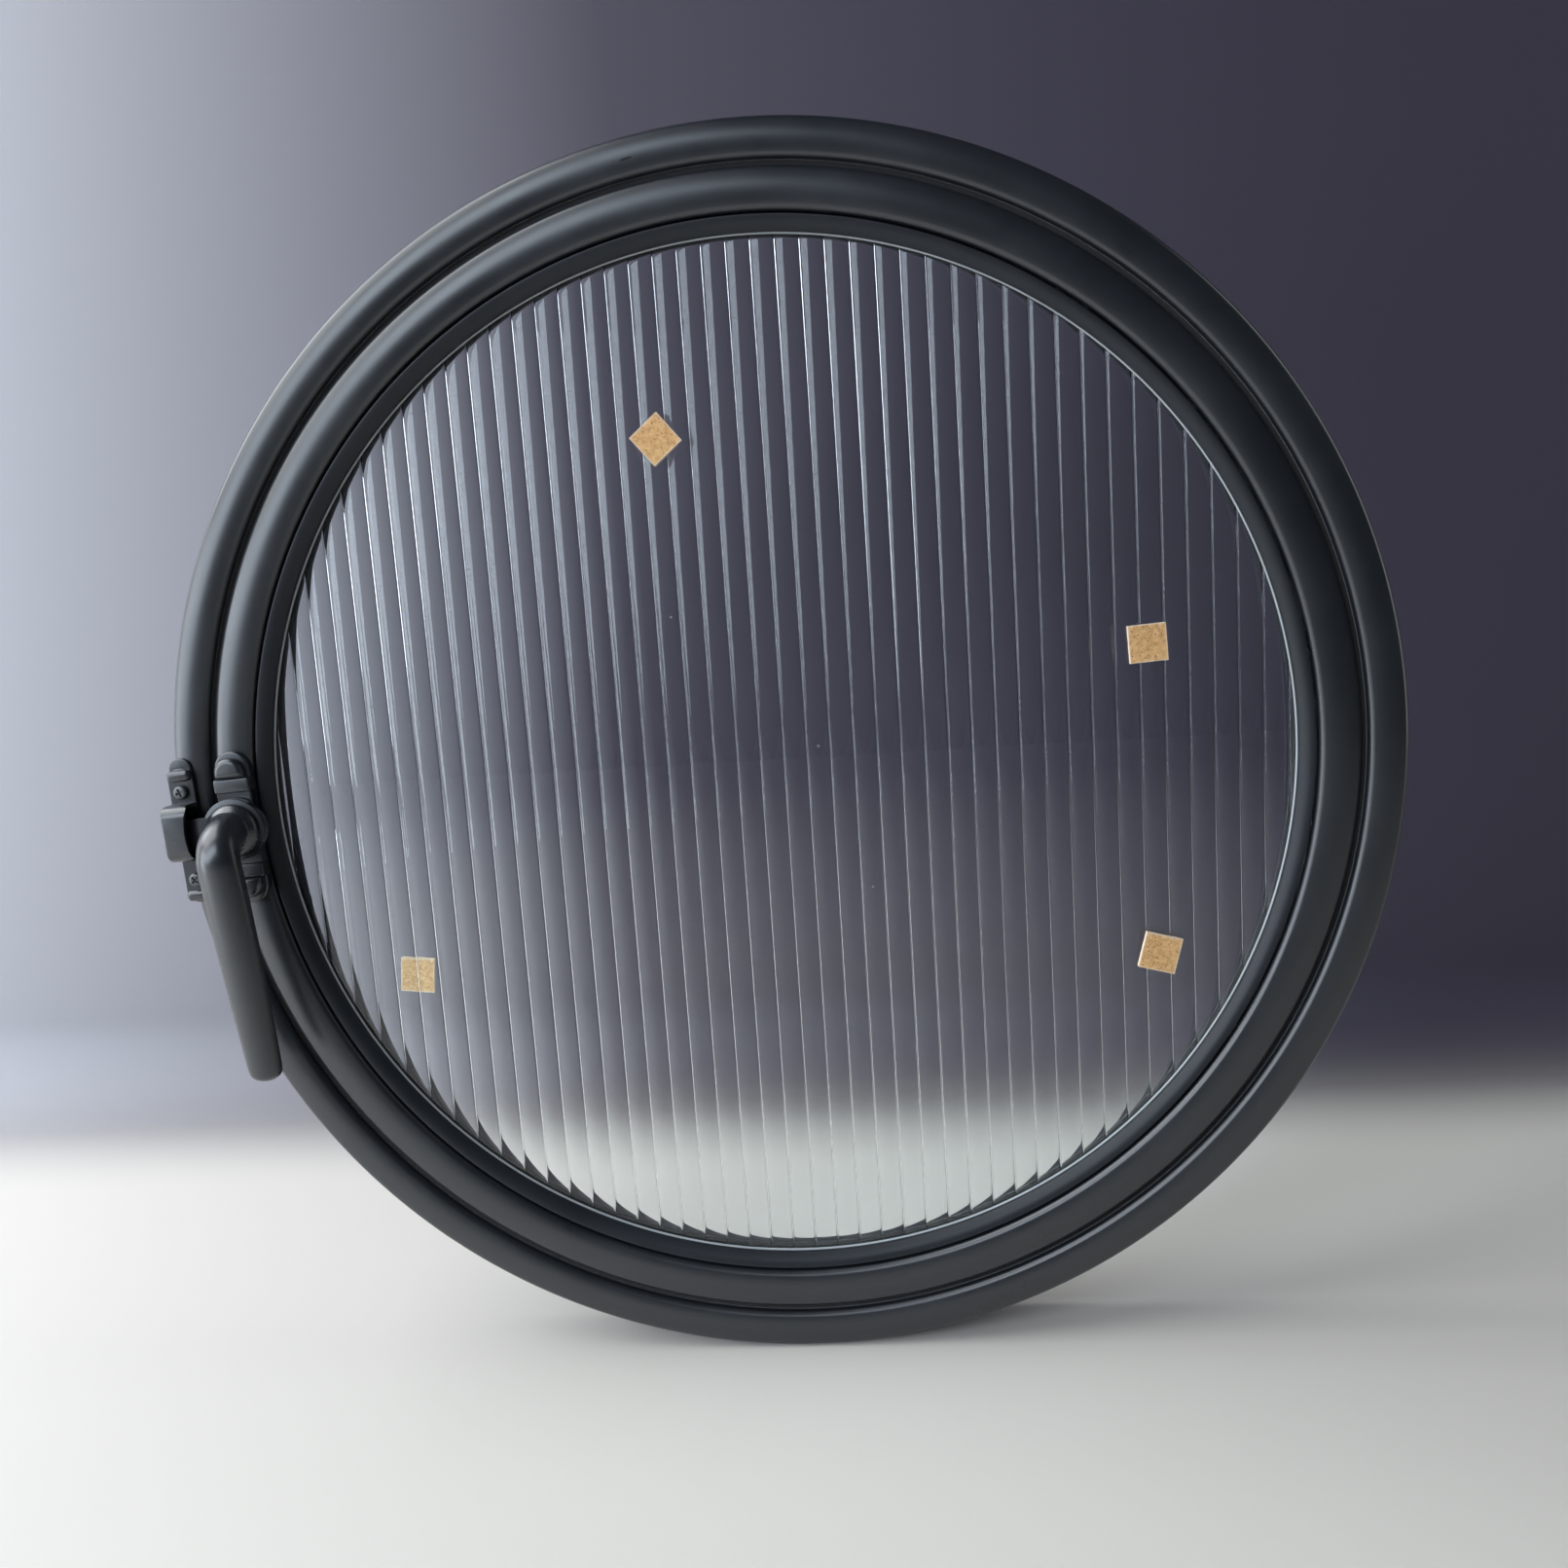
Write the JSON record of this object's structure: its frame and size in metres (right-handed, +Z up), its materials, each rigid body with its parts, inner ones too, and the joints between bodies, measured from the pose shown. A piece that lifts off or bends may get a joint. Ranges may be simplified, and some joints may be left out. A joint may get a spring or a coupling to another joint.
{
  "type": "porthole window",
  "caption": "Round pivot window with a ring frame, a ring sash, upright reeded glass, a lever handle and a hooded keeper.",
  "frame": {"origin": "centre of the ring at the middle of its depth, which is the centre of the wall opening that takes it", "axes": "+Z up, +Y along the ring's axis towards outdoors, so the room side with the handle faces -Y, +X to the right as seen from the room"},
  "size_m": [0.6008, 0.0779, 0.6],
  "materials": {
    "ring_coating": "satin black powder coat on aluminium profile",
    "latch_coating": "satin black powder coat on cast metal",
    "blackened_screw": "blackened steel",
    "reeded_glass": "clear toughened glass, fluted on one side",
    "black_gasket": "matt black rubber",
    "grey_gasket": "pale grey glazing seal",
    "brush_pile": "woven pile",
    "block_plastic": "moulded",
    "bush_plastic": "natural acetal",
    "bare_steel": "turned stainless steel",
    "cork": "fine pressed cork"
  },
  "bodies": {
    "frame": {"brush_seal_outdoor": "brush_pile", "brush_seal_room": "brush_pile", "frame_ring": "ring_coating", "keeper": "latch_coating", "keeper_screw_lower": "blackened_screw", "keeper_screw_upper": "blackened_screw", "pivot_bush_bottom": "bush_plastic", "pivot_bush_top": "bush_plastic", "stop_pin": "bare_steel"},
    "sash": {"bead_gasket": "grey_gasket", "glass_gasket": "black_gasket", "glass_pane": "reeded_glass", "glazing_bead": "ring_coating", "handle_base": "latch_coating", "handle_cap_lower": "latch_coating", "handle_cap_upper": "latch_coating", "handle_screw_lower": "bare_steel", "handle_screw_upper": "bare_steel", "handle_washer": "bare_steel", "pad_lower_left": "cork", "pad_lower_right": "cork", "pad_right": "cork", "pad_upper": "cork", "pivot_block_bottom": "bare_steel", "pivot_block_top": "bare_steel", "pivot_bolt_bottom": "bare_steel", "pivot_bolt_top": "bare_steel", "sash_ring": "ring_coating", "setting_block_1": "block_plastic", "setting_block_2": "block_plastic", "setting_block_3": "block_plastic", "setting_block_4": "block_plastic", "spring_washer_bottom": "bare_steel", "spring_washer_top": "bare_steel"},
    "handle": {"lever": "latch_coating", "tongue": "latch_coating", "spindle": "bare_steel"}
  },
  "joints": [
    {"name": "sash_swing", "type": "hinge", "parent": "frame", "child": "sash", "pos_m": [0, 0, 0], "axis": [0, 0, 1], "range_deg": [0, 90]},
    {"name": "handle_turn", "type": "hinge", "parent": "sash", "child": "handle", "pos_m": [-0.26623, -0.0302, -0.01209], "axis": [0, -1, 0], "range_deg": [0, 90]}
  ]
}
